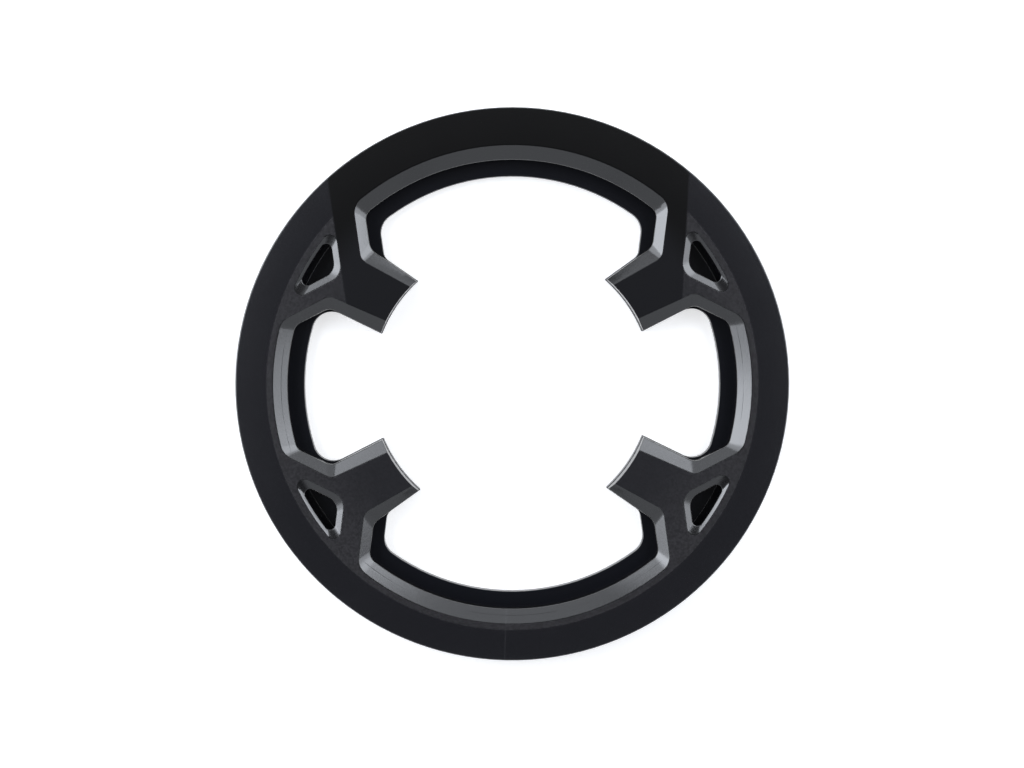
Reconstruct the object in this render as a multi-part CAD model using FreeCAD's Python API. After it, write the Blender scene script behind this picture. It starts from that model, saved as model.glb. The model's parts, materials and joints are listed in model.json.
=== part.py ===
# A four-arm chainring with a moulded guard on its front, held by four screws from the back.
# Z is the axis of the ring. The ring's back face lies on z = 0 and the guard's face looks up.
import FreeCAD, Part
import math
import os

os.makedirs("parts", exist_ok=True)
Vector = FreeCAD.Vector
UP = Vector(0, 0, 1)
CENTRE = Vector(0, 0, 0)

# Teeth
tooth_count = 44
chain_pitch = 12.7
roller_seat_radius = 3.95
roller_seat_half_angle = 50.0
tooth_tip_height = 2.7
tooth_tip_width = 2.4
tooth_thickness = 2.2
tooth_tip_thickness = 1.0
tooth_taper_start = 2.2

# Plate of the chainring
plate_thickness = 4.0
root_band_width = 4.3
plate_rim_width = 7.4
ledge_at_root = 4.1
tab_margin = 0.2
wide_gap_fillet = 7.0
narrow_gap_fillet = 7.0
tab_root_fillet = 4.0

# Bolts that hold the chainring to the crank
bolt_circle_radius = 55.0
bolt_angle = 34.6
bolt_hole_radius = 3.6
tab_end_wall = 1.7

# Section of the guard
guard_overhang = 8.0
flange_width = 11.0
flange_drop = 1.1
face_strip_width = 2.15
guard_height = 7.0
skin_thickness = 3.0
wall_thickness = 3.0
bevel_drop = 2.7
wall_draft = 1.0
rim_chamfer = 0.3

# Arms of the guard, along a line that leans from each bolt, in the first quarter
arm_lean = 28.0
tip_station = -5.5
tip_half_width_wide = 7.85
tip_half_width_narrow = 6.65
neck_half_width = 8.2
neck_setback_wide = 16.48
neck_setback_narrow = 12.38
root_angle_wide = 82.5
root_angle_narrow = -27.0

# Bevel round the opening, as it measures across in plan
bevel_run_ring = 5.0
bevel_run_root = 3.6
bevel_run_wide_tip = 3.0
bevel_run_wide_neck = 4.9
bevel_run_narrow_tip = 4.75
bevel_run_narrow_neck = 3.75

# Corner radii round the opening, on the face and at the foot of the bevel
ring_corner_face = 6.0
ring_corner_foot = 4.2
narrow_neck_face = 3.5
narrow_neck_foot = 4.5
wide_neck_face = 3.5
wide_neck_foot = 5.0

# Windows at the arm roots
window_strut_wide = 7.3
window_strut_narrow = 4.25
window_rim_gap = 0.35
window_bevel_run = 2.35
window_bevel_run_outer = 1.2
window_bevel_drop = 1.0
window_end_face = 2.5
window_end_hole = 1.8
window_inner_face = 5.7
window_inner_hole = 4.9

# Screws of the guard and the bosses that take them
screw_bolt_web = 2.6
screw_shank_radius = 1.9
screw_head_radius = 3.6
screw_head_setback = 0.2
screw_hole_clearance = 0.2
thread_clearance = 0.05
screw_length = 7.6
screw_tip_room = 0.4
cross_slot_width = 0.9
cross_slot_length = 3.8
cross_slot_depth = 1.0
boss_wall = 1.9
rib_thickness = 1.4
rib_seat_clearance = 0.6

# Sizes that follow from those above
pitch_radius = chain_pitch / (2 * math.sin(math.pi / tooth_count))
root_radius = pitch_radius - roller_seat_radius
tip_radius = pitch_radius + tooth_tip_height
step_radius = root_radius - root_band_width
plate_inner_radius = step_radius - plate_rim_width
guard_radius = pitch_radius + guard_overhang
crease_radius = guard_radius - flange_width
face_radius = crease_radius - face_strip_width
face_z = plate_thickness + guard_height
bevel_z = face_z - bevel_drop
skin_z = face_z - skin_thickness
rim_z = face_z - flange_drop
seat_z = plate_thickness
arm_tip_radius = bolt_circle_radius - bolt_hole_radius - tab_end_wall
screw_neck_z = screw_head_setback + screw_head_radius - screw_shank_radius
screw_end_z = screw_head_setback + screw_length
screw_sink_radius = screw_head_radius + screw_head_setback
screw_station = bolt_hole_radius + screw_bolt_web + screw_sink_radius
boss_radius = screw_shank_radius + boss_wall
rib_length = 4 * neck_half_width
draft_slope = math.tan(math.radians(wall_draft))
foot_run = (bevel_z - seat_z) * draft_slope
root_run_out = 2 * neck_half_width


def polar(radius, degrees):
    angle = math.radians(degrees)
    return Vector(radius * math.cos(angle), radius * math.sin(angle), 0)


def arm_point(station, across):
    """A point of the first quarter's arm: along its line from the bolt, and to its left."""
    along = polar(1, arm_lean)
    left = polar(1, arm_lean + 90)
    return polar(bolt_circle_radius, bolt_angle) + along * station + left * across


def ring_station(radius):
    """How far along the arm's line its crossing with a ring lies."""
    start = polar(bolt_circle_radius, bolt_angle)
    middle = -start.dot(polar(1, arm_lean))
    return middle + math.sqrt(middle ** 2 - start.dot(start) + radius ** 2)


screw_point = arm_point(screw_station, 0)

# Outlines
# A side of an outline is ("line", start, end), or ("ring", radius) for an arc about the centre.
# Every outline is followed anticlockwise.

def moved(side, start_run, end_run):
    """The side shifted to its right, by its own amount at each end."""
    if side[0] == "ring":
        return ("ring", side[1] + start_run)
    along = (side[2] - side[1]).normalize()
    right = Vector(along.y, -along.x, 0)
    return ("line", side[1] + right * start_run, side[2] + right * end_run)


def meeting_point(first, second):
    """Where two neighbouring sides cross, nearest to the end that they share."""
    if first[0] == "line" and second[0] == "line":
        run = first[2] - first[1]
        other = second[2] - second[1]
        gap = second[1] - first[1]
        share = (gap.x * other.y - gap.y * other.x) / (run.x * other.y - run.y * other.x)
        return first[1] + run * share
    line = first if first[0] == "line" else second
    radius = second[1] if first[0] == "line" else first[1]
    shared_end = first[2] if first[0] == "line" else second[1]
    along = (line[2] - line[1]).normalize()
    middle = line[1] - along * along.dot(line[1])
    half_chord = math.sqrt(radius ** 2 - middle.Length ** 2)
    crossings = [middle + along * half_chord, middle - along * half_chord]
    return min(crossings, key=lambda point: (point - shared_end).Length)


def heading(side, point):
    if side[0] == "ring":
        return Vector(-point.y, point.x, 0).normalize()
    return (side[2] - side[1]).normalize()


def foot(side, point):
    """The point of a side that is nearest to a given point."""
    if side[0] == "ring":
        return Vector(point).normalize() * side[1]
    along = heading(side, point)
    return side[1] + along * along.dot(point - side[1])


def outline(sides, radii, z):
    """A closed wire of the sides at height z. Each radius rounds the start of its side, and 0 is sharp."""
    corners = []
    for index, side in enumerate(sides):
        before = sides[index - 1]
        corner = meeting_point(before, side)
        if radii[index] == 0:
            corners.append((corner, corner, corner))
            continue
        turn = heading(before, corner).cross(heading(side, corner)).z
        inward = -radii[index] if turn > 0 else radii[index]
        middle = meeting_point(moved(before, inward, inward), moved(side, inward, inward))
        bulge = middle + (corner - middle).normalize() * radii[index]
        corners.append((foot(before, middle), bulge, foot(side, middle)))
    lift = UP * z
    edges = []
    for index, side in enumerate(sides):
        arrive, bulge, leave = corners[index]
        end = corners[(index + 1) % len(sides)][0]
        if radii[index] > 0:
            edges.append(Part.Arc(arrive + lift, bulge + lift, leave + lift).toShape())
        if side[0] == "ring":
            sweep = math.atan2(end.y, end.x) - math.atan2(leave.y, leave.x)
            half = math.degrees(math.atan2(leave.y, leave.x) + (sweep % (2 * math.pi)) / 2)
            edges.append(Part.Arc(leave + lift, polar(side[1], half) + lift, end + lift).toShape())
        else:
            edges.append(Part.LineSegment(leave + lift, end + lift).toShape())
    return Part.Wire(edges)


def mirrored(side):
    """The side reflected in the YZ plane, still followed anticlockwise."""
    if side[0] == "ring":
        return side
    return ("line", Vector(-side[2].x, side[2].y, 0), Vector(-side[1].x, side[1].y, 0))


def turned(side):
    if side[0] == "ring":
        return side
    return ("line", side[1] * -1, side[2] * -1)


def all_round(quarter, radii, gap_ring):
    """Sides and corner radii of the whole opening, from those of its first quarter and the gaps' ring."""
    half = quarter + [gap_ring] + [mirrored(side) for side in reversed(quarter)] + [gap_ring]
    sides = half + [turned(side) for side in half]
    half_radii = radii + radii[::-1]
    return sides, half_radii + half_radii


def fill(wire, height):
    return Part.Face(wire).extrude(UP * height)


def four_quarters(shape):
    """The shape and its reflections in the other three quarters."""
    across = shape.mirror(CENTRE, Vector(1, 0, 0))
    both = [shape, across]
    return both + [part.mirror(CENTRE, Vector(0, 1, 0)) for part in both]


def turned_solid(profile):
    """A solid of revolution about Z from a closed list of (radius, z) corners."""
    points = [Vector(radius, 0, z) for radius, z in profile + profile[:1]]
    return Part.Face(Part.makePolygon(points)).revolve(CENTRE, UP, 360)


def post(centre, radius, low, high):
    return Part.makeCylinder(radius, high - low, centre + UP * low)


# Sides of the guard's opening on its face, through the first quarter
neck_wide = arm_point(ring_station(face_radius) - neck_setback_wide, neck_half_width)
neck_narrow = arm_point(ring_station(face_radius) - neck_setback_narrow, -neck_half_width)
tip_wide = arm_point(tip_station, tip_half_width_wide)
tip_narrow = arm_point(tip_station, -tip_half_width_narrow)
face_quarter = [
    ("line", neck_narrow + polar(root_run_out, root_angle_narrow), neck_narrow),
    ("line", neck_narrow, tip_narrow),
    ("ring", arm_tip_radius),
    ("line", tip_wide, neck_wide),
    ("line", neck_wide, neck_wide + polar(root_run_out, root_angle_wide)),
]
tip_run = bevel_drop * draft_slope
bevel_runs = [
    (bevel_run_root, bevel_run_root),
    (bevel_run_narrow_neck, bevel_run_narrow_tip),
    (tip_run, tip_run),
    (bevel_run_wide_tip, bevel_run_wide_neck),
    (bevel_run_root, bevel_run_root),
]
face_corners = [ring_corner_face, narrow_neck_face, 0, 0, wide_neck_face, ring_corner_face]
foot_corners = [ring_corner_foot, narrow_neck_foot, 0, 0, wide_neck_foot, ring_corner_foot]
sharp_corners = [0] * len(face_corners)


def opening(at_foot, growth, radii, z):
    """Outline of the guard's opening on its face (0) or at the bevel's foot (1), grown into the guard."""
    quarter = []
    for side, runs in zip(face_quarter, bevel_runs):
        quarter.append(moved(side, growth - at_foot * runs[0], growth - at_foot * runs[1]))
    gap_ring = ("ring", face_radius - at_foot * bevel_run_ring + growth)
    sides, all_radii = all_round(quarter, radii, gap_ring)
    return outline(sides, all_radii, z)


def window_outline(at_hole, z):
    """Outline of the first quarter's window on the face (0) or at the foot of its bevel (1)."""
    run = -at_hole * window_bevel_run
    outer = face_radius - window_rim_gap - at_hole * window_bevel_run_outer
    near_wide = moved(face_quarter[4], window_strut_wide, window_strut_wide)
    near_narrow = moved(face_quarter[0], window_strut_narrow, window_strut_narrow)
    sides = [
        ("ring", outer),
        moved(("line", near_wide[2], near_wide[1]), run, run),
        moved(("line", near_narrow[2], near_narrow[1]), run, run),
    ]
    end_radius = window_end_hole if at_hole else window_end_face
    inner_radius = window_inner_hole if at_hole else window_inner_face
    return outline(sides, [end_radius, end_radius, inner_radius], z)


# Guard

def make_guard():
    blank = turned_solid([
        (0, seat_z),
        (face_radius, seat_z),
        (face_radius, skin_z),
        (guard_radius, skin_z),
        (guard_radius, rim_z - rim_chamfer),
        (guard_radius - rim_chamfer, rim_z),
        (crease_radius, face_z),
        (0, face_z),
    ])
    face_wire = opening(0, 0, face_corners, face_z)
    foot_wire = opening(1, 0, foot_corners, bevel_z)
    seat_wire = opening(1, -foot_run, foot_corners, seat_z)
    bevel_space = Part.makeLoft([foot_wire, face_wire], True, True)
    wall_space = Part.makeLoft([seat_wire, foot_wire], True, True)
    walls = fill(opening(1, wall_thickness, sharp_corners, seat_z), skin_z - seat_z)
    hollow = post(CENTRE, face_radius, seat_z, skin_z).cut(walls)

    boss = post(screw_point, boss_radius, seat_z, skin_z)
    rib = Part.makeBox(rib_length, rib_thickness, skin_z - seat_z - rib_seat_clearance)
    rib.translate(Vector(-rib_length / 2, -rib_thickness / 2, seat_z + rib_seat_clearance))
    rib.rotate(CENTRE, UP, arm_lean + 90)
    rib.translate(screw_point)
    body = blank.cut(hollow).fuse(four_quarters(boss) + four_quarters(rib))

    window_z = face_z - window_bevel_drop
    window_hole = window_outline(1, window_z)
    window_bevel = Part.makeLoft([window_hole, window_outline(0, face_z)], True, True)
    window_well = fill(window_outline(1, skin_z), window_z - skin_z)
    pilot = post(screw_point, screw_shank_radius + thread_clearance, seat_z, screw_end_z + screw_tip_room)
    cuts = [bevel_space, wall_space]
    for piece in (window_bevel, window_well, pilot):
        cuts += four_quarters(piece)
    return body.cut(cuts).removeSplitter()


# Chainring

def tooth_outline(z):
    """The toothed edge: a round seat for each roller, straight flanks and narrow tips."""
    step = 360 / tooth_count
    tip_half_angle = math.degrees(math.asin(tooth_tip_width / 2 / tip_radius))
    lift = UP * z
    edges = []
    for index in range(tooth_count):
        gap_angle = index * step
        next_angle = gap_angle + step
        tip_angle = gap_angle + step / 2
        roller = polar(pitch_radius, gap_angle) + lift
        next_roller = polar(pitch_radius, next_angle) + lift
        seat_start = roller + polar(roller_seat_radius, gap_angle - 180 + roller_seat_half_angle)
        seat_middle = roller + polar(roller_seat_radius, gap_angle + 180)
        seat_end = roller + polar(roller_seat_radius, gap_angle + 180 - roller_seat_half_angle)
        tip_start = polar(tip_radius, tip_angle - tip_half_angle) + lift
        tip_middle = polar(tip_radius, tip_angle) + lift
        tip_end = polar(tip_radius, tip_angle + tip_half_angle) + lift
        next_start = next_roller + polar(roller_seat_radius, next_angle - 180 + roller_seat_half_angle)
        edges.append(Part.Arc(seat_start, seat_middle, seat_end).toShape())
        edges.append(Part.LineSegment(seat_end, tip_start).toShape())
        edges.append(Part.Arc(tip_start, tip_middle, tip_end).toShape())
        edges.append(Part.LineSegment(tip_end, next_start).toShape())
    return Part.Wire(edges)


def plate_opening(z):
    """Inner outline of the chainring: round in the gaps, and just proud of the guard along the tabs."""
    proud = foot_run + tab_margin
    quarter = []
    for index in (1, 2, 3):
        start_run, end_run = bevel_runs[index]
        quarter.append(moved(face_quarter[index], -start_run - proud, -end_run - proud))
    root_run = bevel_run_root + foot_run + ledge_at_root
    quarter.append(moved(face_quarter[4], -root_run, -root_run))
    radii = [narrow_gap_fillet, 0, 0, tab_root_fillet, wide_gap_fillet]
    sides, all_radii = all_round(quarter, radii, ("ring", plate_inner_radius))
    return outline(sides, all_radii, z)


def make_chainring():
    taper_radius = root_radius + tooth_taper_start
    reach_out = tip_radius + tooth_tip_height
    body = turned_solid([
        (0, 0),
        (step_radius, 0),
        (step_radius, plate_thickness),
        (0, plate_thickness),
    ])
    teeth = fill(tooth_outline(0), tooth_thickness)
    slope = (tooth_thickness - tooth_tip_thickness) / 2 / (tip_radius - taper_radius)
    drop = slope * (reach_out - taper_radius)
    wedge = Part.makePolygon([
        Vector(taper_radius, -chain_pitch / 2, 0),
        Vector(reach_out, -chain_pitch / 2, 0),
        Vector(reach_out, -chain_pitch / 2, -drop),
        Vector(taper_radius, -chain_pitch / 2, 0),
    ])
    front = Part.Face(wedge).extrude(Vector(0, chain_pitch, 0))
    back = front.mirror(CENTRE, UP)
    front.translate(UP * tooth_thickness)
    cuts = []
    for index in range(tooth_count):
        angle = (index + 0.5) * 360 / tooth_count
        cuts += [front.rotated(CENTRE, UP, angle), back.rotated(CENTRE, UP, angle)]
    teeth = teeth.cut(cuts)
    ring = body.fuse(teeth).removeSplitter()
    ring = ring.cut(fill(plate_opening(0), plate_thickness))
    bolt_hole = post(polar(bolt_circle_radius, bolt_angle), bolt_hole_radius, 0, plate_thickness)
    screw_hole_radius = screw_shank_radius + screw_hole_clearance
    screw_hole = turned_solid([
        (0, 0),
        (screw_sink_radius, 0),
        (screw_hole_radius, screw_sink_radius - screw_hole_radius),
        (screw_hole_radius, plate_thickness),
        (0, plate_thickness),
    ])
    screw_hole.translate(screw_point)
    return ring.cut(four_quarters(bolt_hole) + four_quarters(screw_hole)).removeSplitter()


# Screws

def make_screw():
    """One cross-slot screw with a countersunk head, driven upwards into its boss."""
    body = turned_solid([
        (0, screw_head_setback),
        (screw_head_radius, screw_head_setback),
        (screw_shank_radius, screw_neck_z),
        (screw_shank_radius, screw_end_z),
        (0, screw_end_z),
    ])
    slot = Part.makeBox(cross_slot_length, cross_slot_width, cross_slot_depth)
    slot.translate(Vector(-cross_slot_length / 2, -cross_slot_width / 2, screw_head_setback))
    cross = slot.fuse(slot.rotated(CENTRE, UP, 90))
    body = body.cut(cross)
    body.translate(screw_point)
    return body


guard = make_guard()
chainring = make_chainring()
guard_screws = Part.makeCompound(four_quarters(make_screw()))
for name, shape in (("guard", guard), ("chainring", chainring), ("guard_screws", guard_screws)):
    shape.exportStep("parts/" + name + ".step")
    print(name, shape.isValid(), len(shape.Solids), "solids", round(shape.Volume), "cubic mm")
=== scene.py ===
import bpy
import json
import math
from mathutils import Euler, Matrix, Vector


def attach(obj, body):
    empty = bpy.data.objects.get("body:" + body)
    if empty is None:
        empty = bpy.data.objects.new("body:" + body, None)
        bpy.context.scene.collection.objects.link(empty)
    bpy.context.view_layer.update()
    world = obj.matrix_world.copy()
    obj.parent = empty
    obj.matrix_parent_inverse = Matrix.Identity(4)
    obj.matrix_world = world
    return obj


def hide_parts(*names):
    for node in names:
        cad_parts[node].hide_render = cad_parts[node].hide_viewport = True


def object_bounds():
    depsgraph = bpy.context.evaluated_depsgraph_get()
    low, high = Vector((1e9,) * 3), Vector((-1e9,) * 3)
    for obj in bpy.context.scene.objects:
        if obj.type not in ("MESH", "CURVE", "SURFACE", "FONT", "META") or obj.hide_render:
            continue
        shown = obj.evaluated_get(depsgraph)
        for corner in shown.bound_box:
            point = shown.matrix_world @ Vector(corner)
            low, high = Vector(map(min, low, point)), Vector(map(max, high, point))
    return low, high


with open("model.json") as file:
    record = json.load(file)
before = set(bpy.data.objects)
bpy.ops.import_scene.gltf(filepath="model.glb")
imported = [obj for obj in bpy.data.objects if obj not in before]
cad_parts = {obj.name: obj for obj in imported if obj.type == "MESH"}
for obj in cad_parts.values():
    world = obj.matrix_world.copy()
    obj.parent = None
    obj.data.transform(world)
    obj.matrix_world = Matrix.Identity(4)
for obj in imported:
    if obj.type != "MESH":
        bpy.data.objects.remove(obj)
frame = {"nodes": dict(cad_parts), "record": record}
cad_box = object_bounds()


# Chainring
# A ring of aluminium plate, blanked and turned, with 44 cut teeth and four tabs behind the guard's arms.
# It is anodised black after machining, so the fine circles of the lathe still show in the finish.

def select_only(piece):
    """Makes a piece the one that the next operator acts on."""
    bpy.ops.object.select_all(action="DESELECT")
    piece.select_set(True)
    bpy.context.view_layer.objects.active = piece


def eased_copy(node_name, piece_name, sharp_degrees, largest_ease, ease_at):
    """A merged copy that stands for a solid. Each hard edge is eased by what ease_at says of its ends."""
    merge_distance = 0.000002
    flat_degrees = 0.25
    ease_steps = 3
    smooth_degrees = 32
    piece = bpy.data.objects.new(piece_name, frame["nodes"][node_name].data.copy())
    bpy.context.scene.collection.objects.link(piece)
    select_only(piece)
    bpy.ops.mesh.customdata_custom_splitnormals_clear()
    bpy.ops.object.mode_set(mode="EDIT")
    bpy.ops.mesh.select_mode(type="EDGE")
    bpy.ops.mesh.select_all(action="SELECT")
    bpy.ops.mesh.remove_doubles(threshold=merge_distance)
    bpy.ops.mesh.dissolve_limited(angle_limit=math.radians(flat_degrees))
    bpy.ops.mesh.select_all(action="DESELECT")
    bpy.ops.mesh.edges_select_sharp(sharpness=math.radians(sharp_degrees))
    bpy.ops.object.mode_set(mode="OBJECT")
    weights = piece.data.attributes.new("bevel_weight_edge", "FLOAT", "EDGE")
    for edge in piece.data.edges:
        if edge.select:
            first, second = (piece.data.vertices[index].co for index in edge.vertices)
            weights.data[edge.index].value = ease_at(first, second) / largest_ease
    easing = piece.modifiers.new("easing", "BEVEL")
    easing.limit_method = "WEIGHT"
    easing.width = largest_ease
    easing.segments = ease_steps
    easing.use_clamp_overlap = False
    easing.loop_slide = False
    bpy.ops.object.modifier_apply(modifier=easing.name)
    bpy.ops.object.shade_smooth_by_angle(angle=math.radians(smooth_degrees))
    shading = piece.modifiers.new("even_shading", "WEIGHTED_NORMAL")
    shading.keep_sharp = True
    bpy.ops.object.modifier_apply(modifier=shading.name)
    piece.data.materials.clear()
    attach(piece, "root")
    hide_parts(node_name)
    return piece


def math_node(tree, operation, first, second=0.0):
    """The result of a Math node whose inputs are sockets or plain numbers."""
    node = tree.nodes.new("ShaderNodeMath")
    node.operation = operation
    for index, value in enumerate((first, second)):
        if isinstance(value, bpy.types.NodeSocket):
            tree.links.new(value, node.inputs[index])
        else:
            node.inputs[index].default_value = value
    return node.outputs["Value"]


def spread(tree, value, low, high, start=0.0, end=1.0):
    """Turns start..end into low..high, smoothly, and stays there beyond them."""
    node = tree.nodes.new("ShaderNodeMapRange")
    node.interpolation_type = "SMOOTHSTEP"
    tree.links.new(value, node.inputs["Value"])
    for label, number in (("From Min", start), ("From Max", end), ("To Min", low), ("To Max", high)):
        node.inputs[label].default_value = number
    return node.outputs["Result"]


def tint(tree, amount, first, second):
    """A mix of two colours by an amount of 0..1. Each is a tone or a colour socket."""
    node = tree.nodes.new("ShaderNodeMix")
    node.data_type = "RGBA"
    sockets = [socket for socket in node.inputs if socket.type == "RGBA"]
    for socket, colour in zip(sockets, (first, second)):
        if isinstance(colour, bpy.types.NodeSocket):
            tree.links.new(colour, socket)
        else:
            socket.default_value = (*colour, 1)
    tree.links.new(amount, node.inputs["Factor"])
    return [socket for socket in node.outputs if socket.type == "RGBA"][0]


def noise(tree, scale, detail, vector):
    """A Noise Texture's grey value. The scale is a number or a socket."""
    node = tree.nodes.new("ShaderNodeTexNoise")
    node.inputs["Detail"].default_value = detail
    tree.links.new(vector, node.inputs["Vector"])
    if isinstance(scale, bpy.types.NodeSocket):
        tree.links.new(scale, node.inputs["Scale"])
    else:
        node.inputs["Scale"].default_value = scale
    return node.outputs["Fac"]


def new_group(name, input_names, output_names):
    """A node group with number sockets, which holds only its input and output nodes."""
    group = bpy.data.node_groups.new(name, "ShaderNodeTree")
    for label in input_names:
        group.interface.new_socket(name=label, in_out="INPUT", socket_type="NodeSocketFloat")
    for label in output_names:
        group.interface.new_socket(name=label, in_out="OUTPUT", socket_type="NodeSocketFloat")
    group.nodes.new("NodeGroupInput")
    group.nodes.new("NodeGroupOutput")
    return group


def place_group(tree, group, **values):
    """The outputs of a group placed in a material, with its inputs set to the given values."""
    node = tree.nodes.new("ShaderNodeGroup")
    node.node_tree = group
    for label, value in values.items():
        node.inputs[label].default_value = value
    return node.outputs


# Where a point lies on the ring: along X and Y, above the back face and away from the axis, in metres.
ring_place = new_group("ring_place", [], ["X", "Y", "Height", "Radius"])
point = ring_place.nodes.new("ShaderNodeTexCoord").outputs["Object"]
split = ring_place.nodes.new("ShaderNodeSeparateXYZ")
ring_place.links.new(point, split.inputs["Vector"])
x, y, z = split.outputs
square_x = math_node(ring_place, "MULTIPLY", x, x)
square_y = math_node(ring_place, "MULTIPLY", y, y)
radius = math_node(ring_place, "SQRT", math_node(ring_place, "ADD", square_x, square_y))
for value, label in ((x, "X"), (y, "Y"), (z, "Height"), (radius, "Radius")):
    ring_place.links.new(value, ring_place.nodes["Group Output"].inputs[label])

# Grain of a surface and its slow clouding, each from 0 to 1, at a given number of features a metre.
grain_detail = 2
clouding_detail = 3
surface_grain = new_group("surface_grain", ["Grain", "Clouding"], ["Grain", "Clouding"])
point = surface_grain.nodes.new("ShaderNodeTexCoord").outputs["Object"]
for label, detail in (("Grain", grain_detail), ("Clouding", clouding_detail)):
    scale = surface_grain.nodes["Group Input"].outputs[label]
    pattern = noise(surface_grain, scale, detail, point)
    surface_grain.links.new(pattern, surface_grain.nodes["Group Output"].inputs[label])


def new_material(name):
    """A material with nodes, its node tree and its shader."""
    material = bpy.data.materials.new(name)
    material.use_nodes = True
    return material, material.node_tree, material.node_tree.nodes["Principled BSDF"]


def raise_surface(tree, shader, height, depth):
    """Bumps the shader's normal by a height, of which 1 is the given depth in metres."""
    bump = tree.nodes.new("ShaderNodeBump")
    bump.inputs["Strength"].default_value = 1.0
    bump.inputs["Distance"].default_value = depth
    tree.links.new(height, bump.inputs["Height"])
    tree.links.new(bump.outputs["Normal"], shader.inputs["Normal"])


plate_sharp_degrees = 30
plate_ease = 0.00022


def plate_ease_at(first, second):
    """One ease all over, but none on edges too short for it, as round the screw holes."""
    return plate_ease if (first - second).length > 2 * plate_ease else 0


plate = eased_copy(
    "chainring", "chainring_plate", plate_sharp_degrees, plate_ease, plate_ease_at
)

anodised, tree, shader = new_material("black_anodised")
anodised_dark = (0.0007, 0.0011, 0.0032)
anodised_light = (0.0012, 0.0018, 0.0054)
anodised_gloss = 0.26
anodised_matt = 0.36
anodised_ior = 1.62
lathe_lines_a_metre = 2600
lathe_detail = 3
lathe_depth = 0.000008
pitting = 0.3
place = place_group(tree, ring_place)
grain = place_group(tree, surface_grain, Grain=4000, Clouding=60)
circles = tree.nodes.new("ShaderNodeCombineXYZ")
tree.links.new(place["Radius"], circles.inputs["X"])
lines = noise(tree, lathe_lines_a_metre, lathe_detail, circles.outputs["Vector"])
colour = tint(tree, grain["Clouding"], anodised_dark, anodised_light)
tree.links.new(colour, shader.inputs["Base Color"])
tree.links.new(spread(tree, lines, anodised_gloss, anodised_matt), shader.inputs["Roughness"])
height = math_node(tree, "ADD", lines, math_node(tree, "MULTIPLY", grain["Grain"], pitting))
raise_surface(tree, shader, height, lathe_depth)
shader.inputs["IOR"].default_value = anodised_ior
plate.data.materials.append(anodised)


# Tapped threads
# Fine threads for the chainring bolts, cut through the four tabs and anodised with the rest of the plate.
# Each is a helical ridge round the wall of its bore, wound once and copied to the four bores.

bolts = frame["record"]["mounts"][0]["dims"]
bore_radius = bolts["hole_r_mm"] / 1000
bore_x = bolts["spacing_x_mm"] / 1000 / 2
bore_y = bolts["spacing_y_mm"] / 1000 / 2
thread_pitch = 0.00075
thread_turns = 4
thread_depth = 0.0003
thread_start = 0.00055
thread_steps = 40
thread_smooth_degrees = 40
bpy.ops.object.select_all(action="DESELECT")
bpy.ops.mesh.primitive_circle_add(
    vertices=3,
    radius=thread_depth,
    fill_type="NOTHING",
    location=(bore_radius, 0, thread_start),
    rotation=(math.pi / 2, 0, math.pi),
)
ridge = bpy.context.object
bpy.ops.object.transform_apply(location=True, rotation=True, scale=True)
winding = ridge.modifiers.new("winding", "SCREW")
winding.screw_offset = thread_pitch
winding.iterations = thread_turns
winding.steps = thread_steps
winding.render_steps = thread_steps
bpy.ops.object.modifier_apply(modifier=winding.name)
bpy.ops.object.mode_set(mode="EDIT")
bpy.ops.mesh.select_all(action="DESELECT")
bpy.ops.mesh.select_non_manifold()
bpy.ops.mesh.fill()
bpy.ops.mesh.select_all(action="SELECT")
bpy.ops.mesh.normals_make_consistent(inside=False)
bpy.ops.object.mode_set(mode="OBJECT")
bpy.ops.object.shade_smooth_by_angle(angle=math.radians(thread_smooth_degrees))
ridge.data.materials.append(anodised)
for side, thread_x in (("left", -bore_x), ("right", bore_x)):
    for level, thread_y in (("lower", -bore_y), ("upper", bore_y)):
        thread = bpy.data.objects.new("bolt_thread_" + side + "_" + level, ridge.data.copy())
        bpy.context.scene.collection.objects.link(thread)
        select_only(thread)
        thread.location = (thread_x, thread_y, 0)
        bpy.ops.object.transform_apply(location=True, rotation=False, scale=False)
        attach(thread, "root")
bpy.data.objects.remove(ridge)


# Guard
# A disc guard moulded in one piece of black plastic, with four arms, four windows and a bevelled opening.
# The mould gives its raised plane a fine grain and the rest a shallower one. A field at the top is a little
# glossier, and its colour is painted darker as painted shade.

guard_sharp_degrees = 10
face_ease = 0.00033
foot_ease = 0.0003
rim_ease = 0.0001
face_height = cad_box[1][2]
window_drop = 0.0010
bevel_drop = 0.0027
rim_reach = cad_box[1][0] - 2 * foot_ease
tip_reach = 0.0505
level_blur = 0.00002


def guard_ease_at(first, second):
    """Ease of the rim, the arm tips, and the level edges at the face and the bevel feet."""
    middle = (first + second) / 2
    reach = math.hypot(middle.x, middle.y)
    if reach > rim_reach or reach < tip_reach:
        return rim_ease
    if abs(first.z - second.z) > level_blur:
        return 0
    drop = face_height - middle.z
    if abs(drop) < level_blur:
        return face_ease
    at_foot = min(abs(drop - window_drop), abs(drop - bevel_drop)) < level_blur
    return foot_ease if at_foot else 0


guard = eased_copy("guard", "guard_moulding", guard_sharp_degrees, face_ease, guard_ease_at)

plastic, tree, shader = new_material("satin_black_plastic")
place = place_group(tree, ring_place)
grain = place_group(tree, surface_grain, Grain=1500, Clouding=45)

# The field at the top, painted darker as painted shade and made a little glossier, lies between two slanted
# edges, each given by X, Y and its run in X for each metre of Y.
field_left = (-0.0576, 0.0283, -0.142)
field_right = (0.0594, 0.0300, 0.062)
field_low = 0.010
field_blur = 0.0004


def past_line(line, sign):
    """1 on the right of a slanted edge for a sign of 1, and on its left for -1."""
    edge_x, edge_y, run = line
    shift = math_node(tree, "MULTIPLY", math_node(tree, "SUBTRACT", place["Y"], edge_y), run)
    offset = math_node(tree, "SUBTRACT", math_node(tree, "SUBTRACT", place["X"], edge_x), shift)
    return spread(tree, math_node(tree, "MULTIPLY", offset, sign), 0, 1, -field_blur, field_blur)


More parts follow.
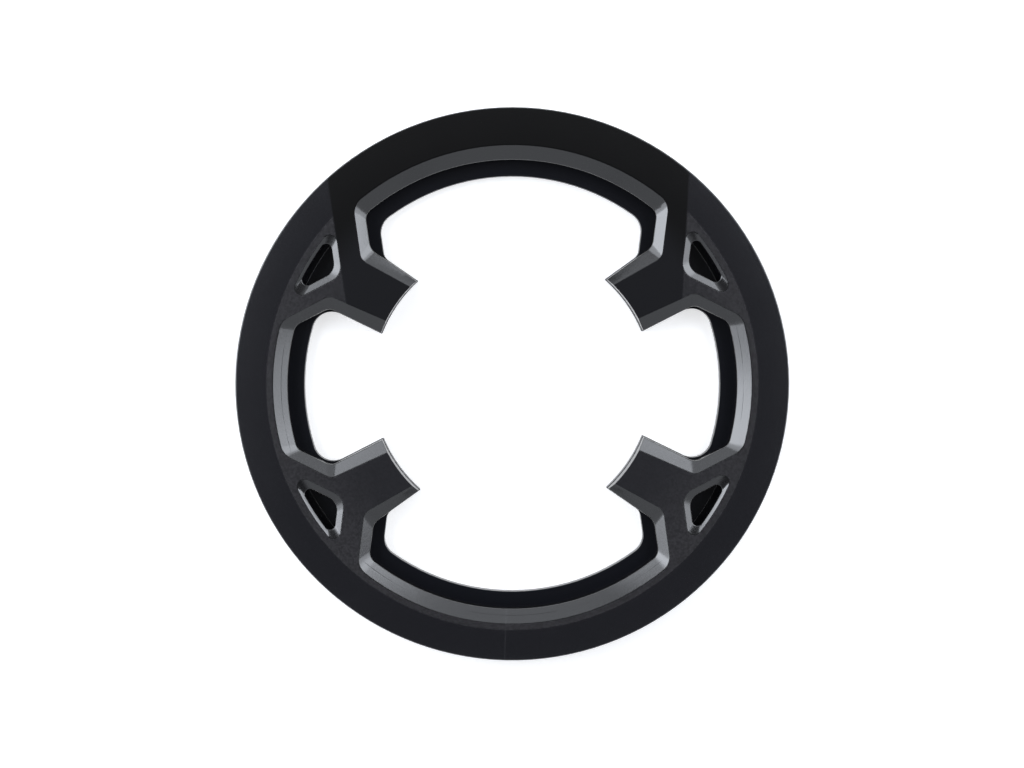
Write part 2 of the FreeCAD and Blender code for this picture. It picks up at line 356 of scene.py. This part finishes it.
field = math_node(tree, "MULTIPLY", past_line(field_left, 1), past_line(field_right, -1))
field = math_node(tree, "MULTIPLY", field, spread(tree, place["Y"], 0, 1, 0, field_low))
off_field = math_node(tree, "SUBTRACT", 1.0, field)

# The raised plane ends outwards at a crease, and the bevels start just below its face.
crease_radius = 0.0860
crease_blur = 0.0003
plane_bottom = face_height - 0.00006
plane_top = face_height - 0.00001
inside_crease = spread(tree, place["Radius"], 1, 0, crease_radius - crease_blur, crease_radius + crease_blur)
on_plane = spread(tree, place["Height"], 0, 1, plane_bottom, plane_top)
raised = math_node(tree, "MULTIPLY", inside_crease, on_plane)
textured = math_node(tree, "MULTIPLY", raised, off_field)
bevelled = math_node(tree, "SUBTRACT", inside_crease, raised)

# A fine weld line, where the plastic met in the mould, runs outwards at the bottom of the ring.
weld_angle = math.radians(267.8)
weld_width = 0.00013
weld_height = 0.5
across = math_node(
    tree, "SUBTRACT",
    math_node(tree, "MULTIPLY", place["X"], math.sin(weld_angle)),
    math_node(tree, "MULTIPLY", place["Y"], math.cos(weld_angle)),
)
weld = spread(tree, math_node(tree, "ABSOLUTE", across), 1, 0, 0, weld_width)
weld = math_node(tree, "MULTIPLY", weld, math_node(tree, "LESS_THAN", place["Y"], 0))

# A broken hairline, left where the mould parts, goes round the bevel of the opening.
seam_radius = 0.0811
seam_height = 0.0095
seam_width = 0.00018
seam_full = 0.0003
seam_gone = 0.0005
seam_depth = 0.7
seam_break_start = 0.42
seam_break_end = 0.62
seam_off = math_node(tree, "ABSOLUTE", math_node(tree, "SUBTRACT", place["Radius"], seam_radius))
seam_rise = math_node(tree, "ABSOLUTE", math_node(tree, "SUBTRACT", place["Height"], seam_height))
seam_line = spread(tree, seam_off, 1, 0, 0, seam_width)
seam_level = spread(tree, seam_rise, 1, 0, seam_full, seam_gone)
seam_breaks = spread(tree, grain["Clouding"], 0, seam_depth, seam_break_start, seam_break_end)
seam = math_node(tree, "MULTIPLY", seam_line, seam_level)
seam = math_node(tree, "MULTIPLY", seam, seam_breaks)
seam = math_node(tree, "MULTIPLY", seam, off_field)

# The plane grows paler and speckled towards the crease, and the bevels are darker. The field at the top is
# painted darker still, as painted shade.
plastic_dark = (0.0055, 0.0055, 0.0077)
plastic_light = (0.0130, 0.0129, 0.0163)
speckle_dark = (0.0152, 0.0145, 0.0165)
speckle_light = (0.0322, 0.0307, 0.0338)
speckle_start = 0.34
speckle_end = 0.66
pale_on_arms = 0.08
pale_start = 0.056
pale_end = 0.082
bevel_black = (0.0040, 0.0039, 0.0046)
# Painted shade: the colours of the field at the top, darkest on the ring and a little less dark on the arms.
field_painted_shade = (0.0014, 0.0014, 0.0018)
field_arm_painted_shade = (0.0076, 0.0078, 0.0098)
arm_full = 0.070
arm_gone = 0.082
weld_grey = (0.04, 0.04, 0.044)
colour = tint(tree, grain["Grain"], plastic_dark, plastic_light)
speckle = spread(tree, grain["Grain"], 0, 1, speckle_start, speckle_end)
pale = tint(tree, speckle, speckle_dark, speckle_light)
outwards = spread(tree, place["Radius"], pale_on_arms, 1.0, pale_start, pale_end)
colour = tint(tree, math_node(tree, "MULTIPLY", textured, outwards), colour, pale)
colour = tint(tree, bevelled, colour, bevel_black)
on_arm = math_node(tree, "MULTIPLY", raised, spread(tree, place["Radius"], 1, 0, arm_full, arm_gone))
painted_shade_field = tint(tree, on_arm, field_painted_shade, field_arm_painted_shade)
colour = tint(tree, field, colour, painted_shade_field)
colour = tint(tree, weld, colour, weld_grey)
tree.links.new(colour, shader.inputs["Base Color"])

plastic_gloss = 0.20
plastic_matt = 0.24
grain_matt = 0.07
field_gloss = 0.05
shallow_grain = 0.45
grain_depth = 0.00003
plastic_ior = 2.0
roughness = spread(tree, grain["Clouding"], plastic_gloss, plastic_matt)
roughness = math_node(tree, "ADD", roughness, math_node(tree, "MULTIPLY", textured, grain_matt))
roughness = math_node(tree, "SUBTRACT", roughness, math_node(tree, "MULTIPLY", field, field_gloss))
tree.links.new(roughness, shader.inputs["Roughness"])
grain_share = math_node(tree, "MULTIPLY", textured, 1 - shallow_grain)
grain_share = math_node(tree, "ADD", grain_share, shallow_grain)
height = math_node(tree, "MULTIPLY", grain["Grain"], grain_share)
height = math_node(tree, "ADD", height, math_node(tree, "MULTIPLY", weld, weld_height))
height = math_node(tree, "SUBTRACT", height, seam)
raise_surface(tree, shader, height, grain_depth)
shader.inputs["IOR"].default_value = plastic_ior
guard.data.materials.append(plastic)


# Guard screws
# Four countersunk steel screws with cross slots, driven through the tabs into the guard's bosses.
# They are cold headed, thread rolled and zinc plated dark.

screw_sharp_degrees = 30
screw_ease = 0.0001


def screw_ease_at(first, second):
    """One small ease on every hard edge."""
    return screw_ease


screws = eased_copy(
    "guard_screws", "countersunk_screws", screw_sharp_degrees, screw_ease, screw_ease_at
)

steel, tree, shader = new_material("dark_zinc_steel")
zinc_dark = (0.12, 0.12, 0.125)
zinc_light = (0.22, 0.22, 0.23)
zinc_gloss = 0.28
zinc_matt = 0.45
zinc_depth = 0.00001
grain = place_group(tree, surface_grain, Grain=3000, Clouding=500)
tree.links.new(tint(tree, grain["Clouding"], zinc_dark, zinc_light), shader.inputs["Base Color"])
tree.links.new(spread(tree, grain["Grain"], zinc_gloss, zinc_matt), shader.inputs["Roughness"])
raise_surface(tree, shader, grain["Grain"], zinc_depth)
shader.inputs["Metallic"].default_value = 1.0
screws.data.materials.append(steel)


# Floor
# A plain sheet of matt white paper, laid flat just under the part and reaching far past it on all sides.
# A glow, for the camera and for reflections only, keeps it white where nothing shades it.

floor_size = 6.0
floor_gap = 0.0001
sheet_white = (0.82, 0.82, 0.82, 1)
sheet_glow = 0.6
bpy.ops.object.select_all(action="DESELECT")
bpy.ops.mesh.primitive_plane_add(size=floor_size, location=(0, 0, -floor_gap))
floor = bpy.context.object
floor.name = "floor"
sheet = bpy.data.materials.new("white_sheet")
sheet.use_nodes = True
tree = sheet.node_tree
tree.nodes.clear()
matt = tree.nodes.new("ShaderNodeBsdfDiffuse")
matt.inputs["Color"].default_value = sheet_white
glow = tree.nodes.new("ShaderNodeEmission")
path = tree.nodes.new("ShaderNodeLightPath")
seen = math_node(tree, "MAXIMUM", path.outputs["Is Camera Ray"], path.outputs["Is Transmission Ray"])
seen = math_node(tree, "MAXIMUM", seen, path.outputs["Is Glossy Ray"])
tree.links.new(math_node(tree, "MULTIPLY", seen, sheet_glow), glow.inputs["Strength"])
both = tree.nodes.new("ShaderNodeAddShader")
tree.links.new(matt.outputs["BSDF"], both.inputs[0])
tree.links.new(glow.outputs["Emission"], both.inputs[1])
output = tree.nodes.new("ShaderNodeOutputMaterial")
tree.links.new(both.outputs["Shader"], output.inputs["Surface"])
floor.data.materials.append(sheet)


# Lights
# Tall soft boxes stand round the part: two bright ones at each side, and weaker ones at the top and bottom.
# The room is dim, and dimmest at the bottom, so that the flat black faces read dark.

box_distance = 0.75
box_colour = (0.89, 0.93, 1.0)


def soft_box(name, azimuth, width, bottom, top, brightness):
    """An upright panel of light that stands at a compass angle and faces the part."""
    turn = math.radians(azimuth)
    spot = (box_distance * math.cos(turn), box_distance * math.sin(turn), (bottom + top) / 2)
    bpy.ops.object.light_add(type="AREA", location=spot, rotation=(math.pi / 2, 0, turn + math.pi / 2))
    lamp = bpy.context.object
    lamp.name = name
    lamp.data.shape = "RECTANGLE"
    lamp.data.size = width
    lamp.data.size_y = top - bottom
    lamp.data.color = box_colour
    lamp.data.energy = brightness * math.pi * width * (top - bottom)


soft_box("left_box", azimuth=166, width=0.54, bottom=0.05, top=0.95, brightness=2.5)
soft_box("left_wide_box", azimuth=161, width=1.36, bottom=0.24, top=1.0, brightness=2.25)
soft_box("right_box", azimuth=28, width=0.56, bottom=0.05, top=0.95, brightness=1.45)
soft_box("right_wide_box", azimuth=21.5, width=1.22, bottom=0.25, top=0.95, brightness=2.25)
soft_box("top_box", azimuth=87, width=0.80, bottom=0.0, top=1.15, brightness=0.76)
for azimuth in (222, 270, 318):
    soft_box("low_box_" + str(azimuth), azimuth, width=0.66, bottom=0.06, top=1.12, brightness=0.50)

room_colour = (0.95, 0.97, 1, 1)
room_low = 0.033
room_high = 0.085
room_fade_start = -0.35
room_fade_end = 0.25
world = bpy.data.worlds.new("studio")
bpy.context.scene.world = world
world.use_nodes = True
tree = world.node_tree
room = tree.nodes["Background"]
room.inputs["Color"].default_value = room_colour
direction = tree.nodes.new("ShaderNodeSeparateXYZ")
tree.links.new(tree.nodes.new("ShaderNodeTexCoord").outputs["Generated"], direction.inputs["Vector"])
strength = spread(tree, direction.outputs["Y"], room_low, room_high, room_fade_start, room_fade_end)
tree.links.new(strength, room.inputs["Strength"])


# Camera
# It looks down on the guard's face, leaning a little towards the top and the left as in the picture.
# A pixel covers as much of the guard's rim as it does there, and the ring's axis falls on the same one.

image_width = 1024
image_height = 768
pixel = 0.00035
axis_column = 512.8
axis_row = 385.5
turn_degrees = 0.5
lean_up_degrees = 2.5
lean_left_degrees = 0.9
sensor_width = 36.0
eye_distance = 0.70
rim_height = 0.0099
view_turn = Euler([math.radians(-angle) for angle in (lean_up_degrees, lean_left_degrees, turn_degrees)])
aim = Vector(((image_width / 2 - axis_column) * pixel, (axis_row - image_height / 2) * pixel, eye_distance))
aim.rotate(view_turn)
bpy.ops.object.camera_add(location=aim + Vector((0, 0, rim_height)), rotation=view_turn)
camera = bpy.context.object
camera.data.sensor_fit = "HORIZONTAL"
camera.data.sensor_width = sensor_width
camera.data.lens = sensor_width * eye_distance / (image_width * pixel)
bpy.context.scene.camera = camera

bpy.context.scene.view_settings.view_transform = "Standard"
